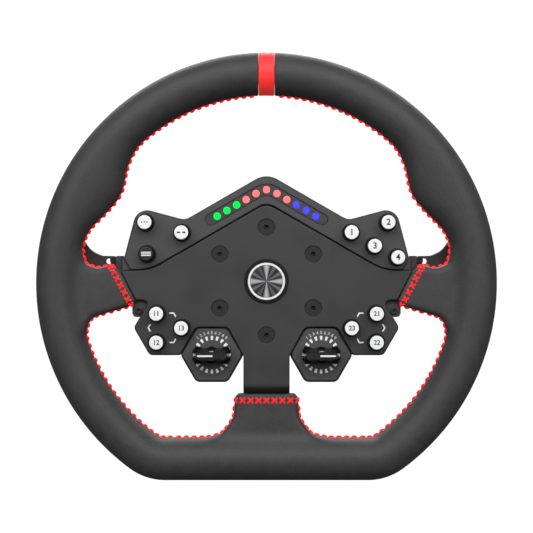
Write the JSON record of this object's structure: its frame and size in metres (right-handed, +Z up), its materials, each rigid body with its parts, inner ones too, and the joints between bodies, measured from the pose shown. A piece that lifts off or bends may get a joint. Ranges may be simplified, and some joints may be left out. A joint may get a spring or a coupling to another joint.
{
  "type": "racing wheel",
  "caption": "D-shaped sim-racing wheel with a leather rim, button plate, shift lights, rotary selectors, shift paddles and a quick-release socket.",
  "frame": {"origin": "centre of the quick-release socket at its rear mouth", "axes": "+Y along the steering axis, from the driver to the base; +Z up with the red marker at the top; +X to the driver's right"},
  "size_m": [0.3, 0.0675, 0.2784],
  "materials": {
    "frame_metal": "satin black",
    "foam": "matte",
    "black_leather": "fine-grained, low sheen",
    "red_trim": "fine-grained, low sheen",
    "plate_metal": "satin",
    "panel_plastic": "fine texture",
    "dial_plastic": "fine texture",
    "smoked_plastic": "semi-gloss",
    "green_lens": "diffused",
    "red_lens": "diffused",
    "blue_lens": "diffused",
    "black_plastic": "semi-matte",
    "spun_metal": "radially brushed",
    "bright_ring": "polished",
    "knob_plastic": "semi-matte",
    "steel": "satin",
    "circuit_board": "solder mask",
    "housing_plastic": "fine texture",
    "paddle_metal": "dark anodised",
    "bracket_metal": "dark anodised",
    "black_screws": "black oxide",
    "adapter_metal": "dark anodised",
    "collar_metal": "satin anodised",
    "white_plastic": "semi-gloss",
    "button_black": "semi-gloss"
  },
  "bodies": {
    "wheel": {"rim_core": "frame_metal", "rim_foam": "foam", "rim_leather": "black_leather", "centre_marker": "red_trim", "face_plate": "plate_metal", "switch_panel": "panel_plastic", "dial_panel_left": "dial_plastic", "dial_panel_right": "dial_plastic", "light_window": "smoked_plastic", "lights_green": "green_lens", "lights_red": "red_lens", "lights_blue": "blue_lens", "bezels_upper": "black_plastic", "bezels_lower": "black_plastic", "tact_switches": "black_plastic", "centre_ring": "bright_ring", "centre_bezel": "black_plastic", "encoders": "black_plastic", "encoder_nuts": "steel", "upper_board": "circuit_board", "lower_board": "circuit_board", "main_board": "circuit_board", "rear_cover": "housing_plastic", "paddle_bracket_left": "bracket_metal", "paddle_bracket_right": "bracket_metal", "paddle_pins": "steel", "paddle_magnets": "bright_ring", "paddle_switches": "black_plastic", "hub_adapter": "adapter_metal", "collar_spring": "steel", "lock_balls": "steel", "retaining_ring": "steel", "hub_screws": "black_screws", "spoke_screws": "black_screws", "rear_cover_screws": "black_screws"},
    "button_left_top": {"button_left_top": "white_plastic"},
    "button_left_inner": {"button_left_inner": "white_plastic"},
    "button_left_low": {"button_left_low": "button_black"},
    "button_right_top": {"button_right_top": "white_plastic"},
    "button_right_inner": {"button_right_inner": "white_plastic"},
    "button_right_middle": {"button_right_middle": "white_plastic"},
    "button_right_low": {"button_right_low": "white_plastic"},
    "cluster_left_1": {"cluster_left_1": "white_plastic"},
    "cluster_left_2": {"cluster_left_2": "white_plastic"},
    "cluster_left_3": {"cluster_left_3": "white_plastic"},
    "cluster_right_1": {"cluster_right_1": "white_plastic"},
    "cluster_right_2": {"cluster_right_2": "white_plastic"},
    "cluster_right_3": {"cluster_right_3": "white_plastic"},
    "centre_button": {"centre_button": "spun_metal"},
    "knob_left": {"knob_left": "knob_plastic", "encoder_shaft_left": "steel"},
    "knob_right": {"knob_right": "knob_plastic", "encoder_shaft_right": "steel"},
    "paddle_left": {"paddle_left": "paddle_metal", "paddle_lever_left": "bracket_metal", "paddle_screws_left": "black_screws"},
    "paddle_right": {"paddle_right": "paddle_metal", "paddle_lever_right": "bracket_metal", "paddle_screws_right": "black_screws"},
    "lock_collar": {"lock_collar": "collar_metal"}
  },
  "joints": [
    {"name": "button_left_top_press", "type": "slide", "parent": "wheel", "child": "button_left_top", "axis": [0, 1, 0], "range_m": [0, 0.0012], "stiffness_N_per_m": 1500},
    {"name": "button_left_inner_press", "type": "slide", "parent": "wheel", "child": "button_left_inner", "axis": [0, 1, 0], "range_m": [0, 0.0012], "stiffness_N_per_m": 1500},
    {"name": "button_left_low_press", "type": "slide", "parent": "wheel", "child": "button_left_low", "axis": [0, 1, 0], "range_m": [0, 0.0012], "stiffness_N_per_m": 1500},
    {"name": "button_right_top_press", "type": "slide", "parent": "wheel", "child": "button_right_top", "axis": [0, 1, 0], "range_m": [0, 0.0012], "stiffness_N_per_m": 1500},
    {"name": "button_right_inner_press", "type": "slide", "parent": "wheel", "child": "button_right_inner", "axis": [0, 1, 0], "range_m": [0, 0.0012], "stiffness_N_per_m": 1500},
    {"name": "button_right_middle_press", "type": "slide", "parent": "wheel", "child": "button_right_middle", "axis": [0, 1, 0], "range_m": [0, 0.0012], "stiffness_N_per_m": 1500},
    {"name": "button_right_low_press", "type": "slide", "parent": "wheel", "child": "button_right_low", "axis": [0, 1, 0], "range_m": [0, 0.0012], "stiffness_N_per_m": 1500},
    {"name": "cluster_left_1_press", "type": "slide", "parent": "wheel", "child": "cluster_left_1", "axis": [0, 1, 0], "range_m": [0, 0.0012], "stiffness_N_per_m": 1500},
    {"name": "cluster_left_2_press", "type": "slide", "parent": "wheel", "child": "cluster_left_2", "axis": [0, 1, 0], "range_m": [0, 0.0012], "stiffness_N_per_m": 1500},
    {"name": "cluster_left_3_press", "type": "slide", "parent": "wheel", "child": "cluster_left_3", "axis": [0, 1, 0], "range_m": [0, 0.0012], "stiffness_N_per_m": 1500},
    {"name": "cluster_right_1_press", "type": "slide", "parent": "wheel", "child": "cluster_right_1", "axis": [0, 1, 0], "range_m": [0, 0.0012], "stiffness_N_per_m": 1500},
    {"name": "cluster_right_2_press", "type": "slide", "parent": "wheel", "child": "cluster_right_2", "axis": [0, 1, 0], "range_m": [0, 0.0012], "stiffness_N_per_m": 1500},
    {"name": "cluster_right_3_press", "type": "slide", "parent": "wheel", "child": "cluster_right_3", "axis": [0, 1, 0], "range_m": [0, 0.0012], "stiffness_N_per_m": 1500},
    {"name": "centre_button_press", "type": "slide", "parent": "wheel", "child": "centre_button", "axis": [0, 1, 0], "range_m": [0, 0.0005], "stiffness_N_per_m": 3000},
    {"name": "knob_left_turn", "type": "hinge", "parent": "wheel", "child": "knob_left", "pos_m": [-0.0354, -0.06, -0.0476], "axis": [0, -1, 0], "continuous": true},
    {"name": "knob_right_turn", "type": "hinge", "parent": "wheel", "child": "knob_right", "pos_m": [0.0354, -0.06, -0.0476], "axis": [0, -1, 0], "continuous": true},
    {"name": "paddle_left_pull", "type": "hinge", "parent": "wheel", "child": "paddle_left", "pos_m": [-0.084, -0.0325, -0.00275], "axis": [0, 0, 1], "range_deg": [0, 3], "stiffness_Nm_per_rad": 6},
    {"name": "paddle_right_pull", "type": "hinge", "parent": "wheel", "child": "paddle_right", "pos_m": [0.084, -0.0325, -0.00275], "axis": [0, 0, -1], "range_deg": [0, 3], "stiffness_Nm_per_rad": 6},
    {"name": "collar_release", "type": "slide", "parent": "wheel", "child": "lock_collar", "axis": [0, -1, 0], "range_m": [0, 0.005], "stiffness_N_per_m": 2500, "deforming": ["collar_spring"]}
  ]
}
